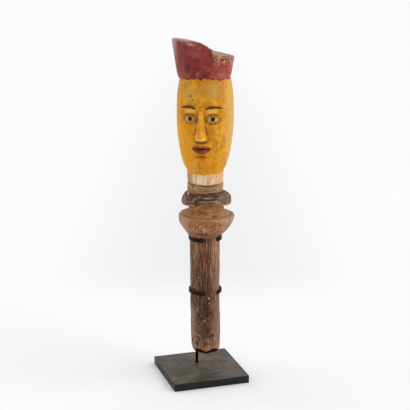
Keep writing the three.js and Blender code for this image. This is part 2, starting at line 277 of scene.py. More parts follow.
def wand_outline():
    """The (radius, z) rows of the wand, from the middle of its sole to the middle of its top."""
    bowl_foot = (BOWL_FOOT_RADIUS, BOWL_Z + 0.3)
    bowl_widest = (BOWL_RADIUS, BOWL_WIDEST_Z)
    rim = (RIM_RADIUS, RIM_Z)
    hollow = (lerp(RIM_RADIUS, WAIST_RADIUS, 0.62), lerp(RIM_Z, WAIST_Z, 0.34))
    waist_foot = (WAIST_RADIUS, WAIST_Z)
    waist_top = (WAIST_RADIUS, WAIST_TOP_Z)
    under_ring = (lerp(WAIST_RADIUS, RING_RADIUS, 0.3), RING_EDGE_Z)
    ring_edge = (RING_RADIUS - 0.3, RING_EDGE_Z)
    ring_widest = (RING_RADIUS, RING_WIDEST_Z)
    neck_foot = (NECK_RADIUS, NECK_Z)
    groove_foot = (NECK_RADIUS, GROOVE_Z - 1)
    groove_bottom = (NECK_RADIUS - 2 * GROOVE_DEPTH, GROOVE_Z)
    groove_top = (NECK_RADIUS, GROOVE_Z + 1)
    neck_top = (NECK_RADIUS, NECK_TOP_Z)
    temple = (HEAD_RADIUS, TEMPLE_Z)
    forehead = (FOREHEAD_RADIUS, CAP_LINE_Z)
    cap_edge = (CAP_RADIUS, CAP_LINE_Z + 0.8)
    cap_shoulder = (CAP_RIM_RADIUS, CAP_TOP_Z - CAP_ROUNDING)
    cap_corner = (CAP_RIM_RADIUS, CAP_TOP_Z)
    cap_top = (CAP_RIM_RADIUS - CAP_ROUNDING, CAP_TOP_Z)
    return np.concatenate([
        [[0, FOOT_Z]],
        curve(8, (0, FOOT_Z), (SOLE_RADIUS, FOOT_Z)),
        curve(9, (SOLE_RADIUS, FOOT_Z), (GRIP_RADIUS, CHAMFER_Z)),
        curve(6, (GRIP_RADIUS, CHAMFER_Z), (GRIP_RADIUS, CUTS_TOP_Z)),
        curve(62, (GRIP_RADIUS, CUTS_TOP_Z), (GRIP_RADIUS, BOWL_Z)),
        curve(2, (GRIP_RADIUS, BOWL_Z), bowl_foot),
        curve(28, bowl_foot, (BOWL_RADIUS, BOWL_Z + 15.5), bowl_widest),
        curve(5, bowl_widest, rim),
        curve(14, rim, hollow, waist_foot),
        curve(4, waist_foot, waist_top),
        curve(10, waist_top, under_ring, ring_edge),
        curve(4, ring_edge, ring_widest),
        curve(18, ring_widest, (RING_RADIUS + 0.2, RING_WIDEST_Z + 9.5), neck_foot),
        curve(7, neck_foot, groove_foot),
        curve(6, groove_foot, groove_bottom, groove_top),
        curve(14, groove_top, neck_top),
        curve(118, neck_top, (JAW_RADIUS, CHIN_Z - 2), (HEAD_RADIUS, NOSE_Z - 10), temple),
        curve(52, temple, (HEAD_RADIUS, TEMPLE_Z + 29), forehead),
        curve(2, forehead, cap_edge),
        curve(42, cap_edge, cap_shoulder),
        curve(4, cap_shoulder, cap_corner, cap_top),
        curve(22, cap_top, (0, CAP_TOP_Z)),
    ])


# The face: the same round mounds and hollows as the solid has, from brow to chin
FACE = [  # to the side, z, half width, half height, rise
    (13, BROW_Z - 1, 17, 6.5, 2.4),
    (EYE_WIDTH, EYE_Z, 13, 9.5, -4.6),
    (EYE_WIDTH, EYE_Z - 0.5, 8.6, 5.8, 4.4),
    (5.5, EYE_Z, 5, 7, -1.8),
    (6.2, NOSE_Z + 3.5, 4, 4.5, 2),
    (20, NOSE_Z + 9, 14, 15, 2.2),
    (20, MOUTH_Z - 2, 13, 12, -1.4),
    (0, MOUTH_Z, 19, 14, 3),
    (0, MOUTH_Z + 3.7, 13, 4.6, 2.8),
    (0, MOUTH_Z - 4, 11.5, 4.8, 3.2),
    (0, MOUTH_Z - 10, 11, 3.6, -1.4),
    (0, CHIN_Z + 5.5, 15, 9.5, 5.2),
]
NOSE_ROOT_HEIGHT = 2.6
NOSE_TIP_HEIGHT = 11.5
NOSE_ROOT_WIDTH = 3.6
NOSE_TIP_WIDTH = 8.6
NOSE_ROOT_FADE = 4
NOSE_UNDERSIDE = 3

# Its painted features, symmetrical: half widths and heights
EYE_HALF_WIDTH = 8.4
UPPER_LID = 2.7
LOWER_LID = 2.6
IRIS_RADIUS = 2.7
EYEBROW_MIDDLE = 15.5
EYEBROW_HALF_WIDTH = 11
EYEBROW_RISE = 2.6
EYEBROW_HALF_HEIGHT = 1.5
UPPER_LIP_HALF_WIDTH = 13
UPPER_LIP_HEIGHT = 5.4
LOWER_LIP_HALF_WIDTH = 11.5
LOWER_LIP_HEIGHT = 6


def nose_relief(x, z):
    down = np.clip((BROW_Z - z) / (BROW_Z - NOSE_Z), 0, 1)
    across = hill(x / lerp(NOSE_ROOT_WIDTH, NOSE_TIP_WIDTH, down ** 1.4)) ** 0.6
    below_brow = 1 - smooth(z, BROW_Z - NOSE_ROOT_FADE, BROW_Z + NOSE_ROOT_FADE)
    above_tip = smooth(z, NOSE_Z - NOSE_UNDERSIDE, NOSE_Z)
    return lerp(NOSE_ROOT_HEIGHT, NOSE_TIP_HEIGHT, down) * across * above_tip * below_brow


def arch(offset, half_width, power):
    """1 in the middle of a feature, falling in a round arch to 0 at its corners."""
    return np.clip(1 - (offset / half_width) ** 2, 0, 1) ** power


def face_marks(x, z):
    """How far each point lies inside the eyes, irises, brows and lips, in mm."""
    side = np.abs(x) - EYE_WIDTH
    up = z - EYE_Z
    open_eye = arch(side, EYE_HALF_WIDTH, 0.75)
    between_lids = np.minimum(UPPER_LID * open_eye - up, up + LOWER_LID * open_eye)
    past_corner = np.maximum(np.abs(side) - EYE_HALF_WIDTH, 0)
    eye = np.where(past_corner > 0, -np.hypot(past_corner, up), between_lids)
    iris = IRIS_RADIUS - np.hypot(side, up - 0.4)
    along_brow = (np.abs(x) - EYEBROW_MIDDLE) / EYEBROW_HALF_WIDTH
    brow_line = BROW_Z + 0.6 + EYEBROW_RISE * (1 - along_brow ** 2)
    brow = EYEBROW_HALF_HEIGHT * np.clip(1 - along_brow ** 4, -1, 1) - np.abs(z - brow_line)
    lip_top = MOUTH_Z + UPPER_LIP_HEIGHT * arch(x, UPPER_LIP_HALF_WIDTH, 0.8) - hill(x / 3.4)
    lip_foot = MOUTH_Z - LOWER_LIP_HEIGHT * arch(x, LOWER_LIP_HALF_WIDTH, 0.7)
    between_edges = np.minimum(lip_top - z, z - lip_foot)
    lips = np.where(np.abs(x) < UPPER_LIP_HALF_WIDTH, between_edges, 12 - np.abs(x))
    parting_line = MOUTH_Z + 0.2 + 0.5 * np.cos(x / 4)
    parting = 0.8 - np.abs(z - parting_line) - 3 * smooth(np.abs(x), 9, UPPER_LIP_HALF_WIDTH)
    return {"eye": eye, "iris": iris, "brow": brow, "lips": lips, "parting": parting}


def face_relief(x, z, marks):
    """The height of the face over the smooth head, in mm."""
    relief = nose_relief(x, z)
    for side, height, half_width, half_height, rise in FACE:
        relief += rise * hill(np.hypot((np.abs(x) - side) / half_width, (z - height) / half_height))
    lids = hill((marks["eye"] + 0.9) / 1.5)
    upper_crease = hill((marks["eye"] + 4.2) / 1.4) * (z > EYE_Z) * hill((np.abs(x) - EYE_WIDTH) / 11)
    nostrils = hill(np.hypot((np.abs(x) - 3.8) / 2.6, (z - NOSE_Z + 1) / 2))
    relief += 0.9 * lids - 0.7 * upper_crease - 0.5 * smooth(marks["eye"], -0.4, 0.6)
    relief += 0.3 * smooth(marks["brow"], -0.5, 0.6) - 1.3 * hill(marks["parting"] / 2 - 0.4)
    return relief - 1.6 * nostrils


def bend(value, reach):
    """0 below 0 and the value itself above 0, with a soft bend between."""
    return (value + np.sqrt(value ** 2 + reach ** 2)) / 2


def cap_top_height(x, y):
    """The height of the cap's top: a high lobe that rolls over a step to the low side."""
    fold = math.radians(FOLD_TURN)
    across = x * math.cos(fold) + y * math.sin(fold)
    fall = BROW_SLOPE * bend(across - BROW_EDGE, STEP_BEND)
    step = STEP_SLOPE * bend(across - STEP_TOP, STEP_BEND)
    rise_again = BROW_SLOPE + STEP_SLOPE - LOW_SIDE_SLOPE
    low_side = rise_again * bend(across - STEP_FOOT, LOW_SIDE_BEND)
    return CAP_TOP_Z - fall - step + low_side - BACK_FALL * y / CAP_RADIUS


# The growth rings are flat sheets of wood that rise outwards, so the bowl cuts them in ovals
GROWTH_SLOPE = (0.26, -0.97, -0.48)

# Marks on the wand's front, each an oval: across, height, half width, half height, strength
PALE_AND_HIGHLIGHT_MARKS = [
    (-10.9, 54, 1.8, 8, 0.9),
    (6, 53, 6, 6, 0.6),
    (-16.5, 140, 1.6, 60, 0.5),
    (-9.3, 176, 2.6, 20, 0.6),
    (5.2, 178, 1.6, 17, 0.5),
    (13.3, 168, 2.4, 24, 0.6),
    (5.5, 207.6, 9, 5.2, 1),
    (2, 247.5, 20, 2.8, 0.55),
    (14.3, 232.4, 1.6, 5, 0.8),
    (-10, 243.4, 3, 4, 0.9),
    # Worn wood with a painted highlight: along the ring's lower right, and in a pale line where the ring
    # meets the neck
    (19.7, 241.4, 6.5, 3.4, 1.1),
    (6.5, 250.9, 13, 1.1, 1.2),
    (-8, 257, 6, 6, 0.5),
    (-1.1, 259.5, 6, 1.2, 1),
    (-4, 268, 7, 10, 0.7),
    (13, 267, 3, 5, 0.7),
    (-13, 377, 15, 15, 0.8),
    (15, 381, 10, 16, 0.8),
    (-4.2, 400.8, 3, 3, 0.4),
    # Painted highlights on the cap: a faint spot, the glint on its rounded front rim, and a soft pink glow
    # below it
    (-0.6, 432.7, 5, 5, 0.3),
    (-11.3, 438, 10, 4.5, 1.2),
    (-6, 426, 11, 11, 0.2),
]
DARK_AND_SHADE_MARKS = [
    (3.5, 68, 6.5, 13, 0.8),
    # Painted shade down the middle of the grip's front, these two
    (-0.5, 116, 7.5, 56, 0.6),
    (6.5, 92, 10.5, 44, 0.8),
    (-13.2, 165, 1.3, 28, 0.6),
    (7.5, 140, 1.7, 58, 0.5),
    # Painted shadow on the grip just above the lower clip
    (-9, 122.4, 12, 2.2, 0.8),
    (1.5, 199.6, 14, 2.8, 1),
    (0.5, 207, 1.3, 9, 0.8),
    (-11.6, 213.5, 9, 4.5, 0.6),
    (-11.6, 213, 5.5, 2.4, -0.8),
    (16, 222.2, 6, 1.2, 0.9),
    (19, 213.5, 9, 4, 0.4),
    # Painted shade under the ring's hanging lip
    (-2.8, 234.8, 1.4, 1.6, 1),
    (3, 240.5, 9, 2.6, 0.4),
    (-6.6, 240, 2.2, 2.6, 1.2),
    (-12.5, 374.5, 1.6, 3, 1),
    (-10.4, 370, 1.5, 2, 1),
    (2, 399.8, 6, 5, 0.8),
    (-17.2, 409, 8, 10, 0.9),
    (-19, 420, 8, 10, 0.5),
    # Painted shade along the ridge of the cap's broken corner
    (14.5, 425, 1.8, 11, 0.7),
]
WARM_MARKS = [
    (15.2, 86.8, 2.2, 5, 0.7),
    (13.2, 91.4, 2.2, 9, 0.6),
    (3, 150, 6, 14, 0.5),
    (10.8, 160, 2.3, 40, 0.5),
    (-1, 180, 7, 10, 0.9),
    (-11.3, 229.9, 8, 4, 1),
    (-23.1, 240.5, 5.5, 5, 1.2),
    (-19, 394, 5, 5, 0.4),
    (-0.5, 393, 4.5, 6, 0.9),
    (21.5, 394, 4, 5, 0.6),
]
CHIPS = [
    (2.3, 82.1, 0.9, 1.4, 0.9),
    (8.1, 105.5, 0.8, 1.1, 0.9),
    (7.5, 112.5, 0.9, 1.2, 1),
    (-11.5, 126.5, 0.8, 0.9, 0.7),
    (-4.6, 138.2, 0.8, 0.9, 0.6),
    (7.1, 161.6, 1.1, 0.8, 0.6),
    (-19.7, 249, 2, 1.1, 1.3),
]
PITS = [
    (1.3, 51.7, 1.5, 2.2, 1.2),
    (5.2, 54, 1.3, 1.8, 1),
    (-6.6, 58.7, 1.3, 2.4, 1),
    (8.9, 61, 1.7, 2.5, 1.2),
    (-2.5, 64, 1.2, 2, 0.9),
    (5.6, 69, 1.4, 2.2, 0.9),
]


def marked(points, ovals):
    """How strongly each point is marked, from 0 to 1."""
    field = np.zeros(points.shape[:2])
    for across, height, half_width, half_height, strength in ovals:
        aside = (points[..., 0] - across) / half_width
        up = (points[..., 2] - height) / half_height
        field += strength * hill(np.hypot(aside, up))
    return np.clip(field, 0, 1) * (points[..., 1] < 0)


def carve_grip(x, y, z, turn, scallop):
    """Hacks facets round the foot, wears one side down and sets the foot a little off the axis."""
    cut = 1 - CUT_DEPTH * scallop * (1 - smooth(z, FOOT_Z, CUTS_TOP_Z)) / GRIP_RADIUS
    drift = FOOT_DRIFT * (1 - smooth(z, FOOT_Z, DRIFT_TOP_Z))
    side = 1 - worn(WORN_SIDE, np.degrees(turn), z) / GRIP_RADIUS
    return (x * cut + drift) * side, y * cut * side


def carve_collar(x, y, z, turn, radius):
    """Sets the collar off the axis, tilts its rim and ring, and wears the ring's edge away in front."""
    degrees = np.degrees(turn)
    collar = (z > BOWL_Z) & (z < NECK_Z)
    edge = 1 - collar * worn(WORN_EDGE, degrees, z, BROAD_WEAR) / np.maximum(radius, 1)
    spur = 1 + worn(RIM_SPUR, degrees, z) / RIM_RADIUS
    above_neck_foot = smooth(z, NECK_Z - 4, NECK_Z)
    shift = collar * COLLAR_SHIFT * smooth(z, BOWL_Z, BOWL_Z + 8) * (1 - above_neck_foot)
    neck_shift = NECK_SHIFT * above_neck_foot * (1 - smooth(z, NECK_TOP_Z - 8, NECK_TOP_Z))

    outward = np.clip((radius - WAIST_RADIUS) / (BOWL_RADIUS - WAIST_RADIUS), 0, 1)
    on_rim = smooth(z, BOWL_WIDEST_Z - 4, BOWL_WIDEST_Z) * (z < WAIST_Z) * outward
    slanting = smooth(z, RING_EDGE_Z, RING_WIDEST_Z + 3) * (1 - smooth(z, NECK_Z, GROOVE_Z))
    ring_tilt = RING_TILT * slanting * np.cos(turn - math.radians(RING_TILT_TURN))
    lift = collar * (worn(WORN_LIFT, degrees, z, BROAD_WEAR) - worn(HANGING_LIP, degrees, z))
    raised = z + RIM_TILT * on_rim * np.sin(turn) + ring_tilt + lift
    return (x * edge + shift) * spur + neck_shift, y * edge * spur, raised


def carve_head(x, y, z, height, marks):
    """How deep the head is: the face in front and a slight swell behind."""
    share = smooth(height, NECK_TOP_Z, NECK_TOP_Z + 25)
    facing = np.clip(-y / HEAD_RADIUS * 2, 0, 1)
    front = y * lerp(1, FACE_DEPTH, share) - face_relief(x, z, marks) * facing
    back = y * (1 + BACK_SWELL * hill((z - TEMPLE_Z) / (CAP_LINE_Z - TEMPLE_Z)))
    return np.where(y < 0, front, back)


def scoop_shares(turn, upward):
    """How far the cap's broken corner goes in, and how far it leans back, each from 0 to 1."""
    degrees = np.degrees(turn)
    entry_turn = SCOOP_FROM - SCOOP_CURL * smooth(upward, 0.5, 1)
    entry = smooth(degrees - entry_turn, 0, SCOOP_EDGE)
    leave = 1 - smooth(degrees, SCOOP_TO - SCOOP_FADE, SCOOP_TO)
    return entry * leave * upward ** SCOOP_POWER, entry * leave * smooth(upward, 0.7, 1)


def carve_cap(turn, radius, height, line):
    """The flared cap, dished on top, with its front corner broken away."""
    on_top = height > CAP_TOP_Z - CAP_ROUNDING / 2
    inward = np.where(on_top, radius / (CAP_RIM_RADIUS - CAP_ROUNDING), 1)
    reach = np.where(on_top, radius, CAP_RIM_RADIUS)
    top = cap_top_height(reach * np.sin(turn), -reach * np.cos(turn))
    rise = (height - CAP_LINE_Z) / (CAP_TOP_Z - CAP_LINE_Z)
    z = lerp(line, top, rise)
    upward = np.clip((z - SCOOP_FLOOR) / (top - SCOOP_FLOOR), 0, 1)
    scoop, leaning = scoop_shares(turn, upward)
    above_line = np.maximum(z - line, 0)
    flared = CAP_RADIUS + CAP_FLARE * above_line ** CAP_FLARE_POWER
    side = flared - SCOOP_DEPTH * scoop - SCOOP_LEAN * leaning
    side = np.where(on_top, (side - CAP_ROUNDING) * np.minimum(inward, 1.06), side)
    flush = 1 - (1 - FACE_DEPTH) * np.maximum(np.cos(turn), 0) * (1 - rise)
    x = side * np.sin(turn) + CAP_SHIFT + CAP_LEAN * above_line
    y = -side * np.cos(turn) * flush * (1 - CAP_FLATNESS * rise)
    z = z - DISH_DEPTH * np.where(inward < 1, 1 - inward ** DISH_POWER, 0)
    shares = {"scoop": scoop, "leaning": leaning, "inward": 1 - np.minimum(inward, 1), "on_top": on_top}
    return x, y, z, shares


def carve_wand():
    """The wand's points in its own frame, in mm, and the values that its paint is laid out by."""
    outline = wand_outline()
    radius, height = (np.repeat(outline[:, k][:, None], COLUMNS, 1) for k in (0, 1))
    even = np.linspace(-math.pi, math.pi, COLUMNS, endpoint=False)
    turn = np.repeat((even - FRONT_DENSITY * np.sin(even))[None], len(outline), 0)
    scallop = 0.5 - 0.5 * np.cos(CUT_COUNT * (turn - math.radians(CUT_TURN)))
    line_drop = CAP_LINE_DROP * np.sin(turn) ** 2
    head = (height > NECK_TOP_Z) & (height <= CAP_LINE_Z)
    cap = height > CAP_LINE_Z

    x, y = carve_grip(radius * np.sin(turn), -radius * np.cos(turn), height, turn, scallop)
    x, y, z = carve_collar(x, y, height, turn, radius)
    marks = face_marks(x, z)
    y = np.where(head, carve_head(x, y, z, height, marks), y)
    z = np.where(head, z - line_drop * smooth(height, TEMPLE_Z, CAP_LINE_Z), z)
    *cap_places, cap_shares = carve_cap(turn, radius, height, CAP_LINE_Z - line_drop)
    x, y, z = (np.where(cap, new, old) for new, old in zip(cap_places, (x, y, z)))

    points = np.stack([x, y, z], -1)
    values = {
        "height": height,
        "across": x,
        "behind": y,
        "facet": height - lerp(*CUT_EDGE_Z, np.sqrt(scallop)),
        "pale": marked(points, PALE_AND_HIGHLIGHT_MARKS),
        "dark": marked(points, DARK_AND_SHADE_MARKS),
        "warm": marked(points, WARM_MARKS),
        "chip": marked(points, CHIPS),
        "pit": marked(points, PITS),
        "growth": points @ np.array(GROWTH_SLOPE),
        **{key: cap * share for key, share in cap_shares.items()},
        **{key: np.where(head & (y < 0), value, -9) for key, value in marks.items()},
    }
    return points, values


def outward_normals(points):
    along = np.gradient(points, axis=0)
    around = (np.roll(points, -1, 1) - np.roll(points, 1, 1)) / 2
    normal = np.cross(around, along)
    return normal / np.maximum(np.linalg.norm(normal, axis=2, keepdims=True), 1e-9)


def hollows(points, rounds=8):
    """How far each point lies below its smoothed surroundings: above 0 in hollows, below 0 on edges."""
    soft = points
    for _ in range(rounds):
        down = np.vstack([soft[:1], soft[:-1]])
        up = np.vstack([soft[1:], soft[-1:]])
        soft = (np.roll(soft, 1, 1) + np.roll(soft, -1, 1) + up + down) / 4
    return ((soft - points) * outward_normals(points)).sum(2)


def neck_cracks(points, values):
    """The distance to the nearest drying crack in the neck's pale band, in mm."""
    height = values["height"]
    turn = np.arctan2(points[..., 0], -points[..., 1])
    nearest = np.full(height.shape, 9.0)
    for bearing, low, high, drift in CRACKS:
        wave = drift * np.sin(height / (2.3 + drift)) + 0.6 * np.sin(height * 1.3)
        path = math.radians(bearing) + 0.02 * wave
        past = np.maximum(np.maximum(low - height, height - high), 0)
        nearest = np.minimum(nearest, np.hypot(NECK_RADIUS * (turn - path), past))
    return nearest


def wand_mesh():
    """The carved wand with its low relief: tool marks, furrows along the grip, and cracks."""
    points, values = carve_wand()
    height = values["height"]
    values["hollow"] = hollows(points)
    values["crack"] = neck_cracks(points, values)
    above_foot = smooth(height, FOOT_Z + 2, FOOT_Z + 12)
    calmer_face = 1 - 0.6 * ((height > CHIN_Z) & (height < CAP_LINE_Z))
    uneven = 0.3 * wobble(points, (30, 30, 60), 3) + 0.1 * wobble(points, (9, 9, 16), 5)
    tooled = 0.09 * wobble(points, (4.5, 4.5, 6), 11)
    broken = 0.5 * wobble(points, (5, 5, 5), 23) + 0.3 * wobble(points, (2.4, 2.4, 2.4), 29)
    on_grip = smooth(height, CUTS_TOP_Z, CUTS_TOP_Z + 8) * (height < BOWL_Z)
    furrows = 0.15 * on_grip * wobble(points, (2.6, 2.6, 80), 41)
    cracks = 0.3 * hill(values["crack"] / 0.8)
    depth = furrows + above_foot * (uneven + tooled) * calmer_face + values["scoop"] * broken - cracks
    points = points + outward_normals(points) * depth[..., None]
    points[0] = points[0].mean(0)
    points[-1] = points[-1].mean(0)
    turn = math.radians(WAND_TURN)
    x, y = points[..., 0].copy(), points[..., 1].copy()
    points[..., 0] = WAND_X + x * math.cos(turn) - y * math.sin(turn)
    points[..., 1] = WAND_Y + x * math.sin(turn) + y * math.cos(turn)
    return grid_mesh("wand_carving", points, values)


# Stand pieces
def plate_mesh():
    """The plate: a square with rounded edges."""
    shape = bmesh.new()
    bmesh.ops.create_cube(shape, size=1)
    for vert in shape.verts:
        vert.co.x *= PLATE_SIDE * MM
        vert.co.y *= PLATE_SIDE * MM
        vert.co.z = (vert.co.z + 0.5) * PLATE_THICKNESS * MM
    edge = PLATE_EDGE * MM
    bmesh.ops.bevel(shape, geom=shape.edges[:], offset=edge, segments=4, profile=0.5, affect="EDGES")
    mesh = bpy.data.meshes.new("stand_plate")
    shape.to_mesh(mesh)
    shape.free()
    mesh.shade_smooth()
    return mesh


def post_mesh():
    """The rod, with a small bead of braze at the plate and at each clip."""
    clip_heights = [clip[0] for clip in CLIPS.values()]
    top = clip_heights[0] + CLIP_HEIGHT / 2
    z = np.unique(np.concatenate([
        np.linspace(PLATE_THICKNESS - 3, top, 60),
        np.linspace(PLATE_THICKNESS, PLATE_THICKNESS + 4, 9),
        *[np.linspace(height - 5, min(height + 5, top), 21) for height in clip_heights],
    ]))
    above_plate = smooth(z, PLATE_THICKNESS, PLATE_THICKNESS + PLATE_BEAD_HEIGHT)
    radius = POST_RADIUS + PLATE_BEAD * (1 - above_plate) ** 2
    for height in clip_heights:
        radius = radius + CLIP_BEAD * hill((z - height) / CLIP_BEAD_REACH)
    radius = radius - POST_CHAMFER * smooth(z, top - 1.5 * POST_CHAMFER, top) ** 2
    radius = np.concatenate([[0], radius, [0]])
    z = np.concatenate([z[:1], z, z[-1:]])
    turn = np.linspace(-math.pi, math.pi, 40, endpoint=False)
    x, y = on_circle(POST_BEARING, GRIP_RADIUS + CLIP_THICKNESS + 2 * CLEARANCE + POST_RADIUS)
    points = np.stack([
        x + radius[:, None] * np.sin(turn),
        y - radius[:, None] * np.cos(turn),
        np.repeat(z[:, None], len(turn), 1),
    ], -1)
    return grid_mesh("stand_post", points)


def clip_mesh(name, height, start, end):
    """A flat bar with soft edges and round tips, bent round the grip."""
    middle = GRIP_RADIUS + CLEARANCE + CLIP_THICKNESS / 2
    length = math.radians(start - end) * middle
    inset = CLIP_TIP * (1 - np.cos(np.linspace(0, math.pi / 2, 9)))
    between_tips = np.linspace(CLIP_TIP, length - CLIP_TIP, 110)[1:-1]
    along = np.concatenate([inset, between_tips, (length - inset)[::-1]])
    from_tip = np.minimum(along, length - along)
    swell = np.sqrt(np.clip(1 - (1 - np.minimum(from_tip / CLIP_TIP, 1)) ** 2, 0, 1))
    bearing = start - np.degrees(along / middle)
    around = np.linspace(0, 2 * math.pi, 32, endpoint=False)
    squareness = 0.45
    across = np.sign(np.cos(around)) * np.abs(np.cos(around)) ** squareness * CLIP_THICKNESS / 2
    upward = np.sign(np.sin(around)) * np.abs(np.sin(around)) ** squareness * CLIP_HEIGHT / 2
    radius = middle + swell[:, None] * across
    x, y = on_circle(bearing[:, None], radius)
    z = height + swell[:, None] * upward
    return grid_mesh(name, np.stack([x, y, z], -1))


# Materials
def srgb(red, green, blue):
    """A colour given as 0 to 255 on screen, as the shader wants it."""
    def linear(c):
        c /= 255
        return c / 12.92 if c < 0.04045 else ((c + 0.055) / 1.055) ** 2.4
    return linear(red), linear(green), linear(blue), 1


class Shader:
    """One material's node tree, built with short words. Sizes and each point's place are in mm."""

    def __init__(self, name):
        self.material = bpy.data.materials.new(name)
        self.material.use_nodes = True
        self.tree = self.material.node_tree
        self.tree.nodes.clear()
        self.place = self.stretched(self.add("TexCoord", {}).outputs["Object"], (1000, 1000, 1000))

    def add(self, kind, inputs, **settings):
        node = self.tree.nodes.new("ShaderNode" + kind)
        for key, value in settings.items():
            setattr(node, key, value)
        for key, value in inputs.items():
            if isinstance(value, bpy.types.NodeSocket):
                self.tree.links.new(value, node.inputs[key])
            else:
                node.inputs[key].default_value = value
        return node

    def stretched(self, vector, scale):
        return self.add("VectorMath", {0: vector, 1: scale}, operation="MULTIPLY").outputs[0]

    def dot(self, vector, other):
        return self.add("VectorMath", {0: vector, 1: other}, operation="DOT_PRODUCT").outputs["Value"]

    def attribute(self, name):
        return self.add("Attribute", {}, attribute_name=name).outputs["Fac"]

    def noise(self, size, detail, stretch=(1, 1, 1), warp=0):
        """Soft grains of about a size, drawn out along the axes where stretch is under 1."""
        inputs = {"Vector": self.stretched(self.place, stretch), "Scale": 1 / size}
        return self.add("TexNoise", {**inputs, "Detail": detail, "Distortion": warp}).outputs[0]

    def cells(self, size):
        return self.add("TexVoronoi", {"Vector": self.place, "Scale": 1 / size}).outputs["Distance"]

    def maths(self, operation, *values):
        return self.add("Math", dict(enumerate(values)), operation=operation).outputs[0]

    def ramp(self, value, low, high, start=0, end=1):
        """An even S from start at low to end at high."""
        inputs = {"Value": value, "From Min": low, "From Max": high, "To Min": start, "To Max": end}
        return self.add("MapRange", inputs, interpolation_type="SMOOTHSTEP").outputs[0]

    def plus(self, *values):
        return reduce(lambda total, value: self.maths("ADD", total, value), values)

    def times(self, *values):
        return reduce(lambda product, value: self.maths("MULTIPLY", product, value), values)

    def band(self, value, low, high, soft=0.5):
        """1 between low and high, with soft edges."""
        above_low = self.ramp(value, low - soft, low + soft)
        below_high = self.ramp(value, high - soft, high + soft, 1, 0)
        return self.times(above_low, below_high)

    def mix(self, share, under, over):
        return self.add("Mix", {0: share, 6: under, 7: over}, data_type="RGBA").outputs[2]

    def blend(self, value, low, high, first, last):
        """From a first colour, where the value is low, to a last one, where it is high."""
        return self.mix(self.ramp(value, low, high), srgb(*first), srgb(*last))

    def coats(self, colour, *layers):
        """Lays colours over a first one in turn, each as strongly as the product of the shares beside it."""
        for top, *shares in layers:
            top = srgb(*top) if isinstance(top, tuple) else top
            colour = self.mix(self.times(*shares), colour, top)
        return colour

    def finish(self, colour, roughness, relief, depth, shine):
        """The material, its relief as many mm deep as depth says."""
        bump = self.add("Bump", {"Height": relief, "Distance": depth * MM, "Strength": 1})
        inputs = {"Base Color": colour, "Roughness": roughness, "Normal": bump.outputs[0]}
        shader = self.add("BsdfPrincipled", {**inputs, "Specular IOR Level": shine})
        self.add("OutputMaterial", {"Surface": shader.outputs[0]})
        return self.material


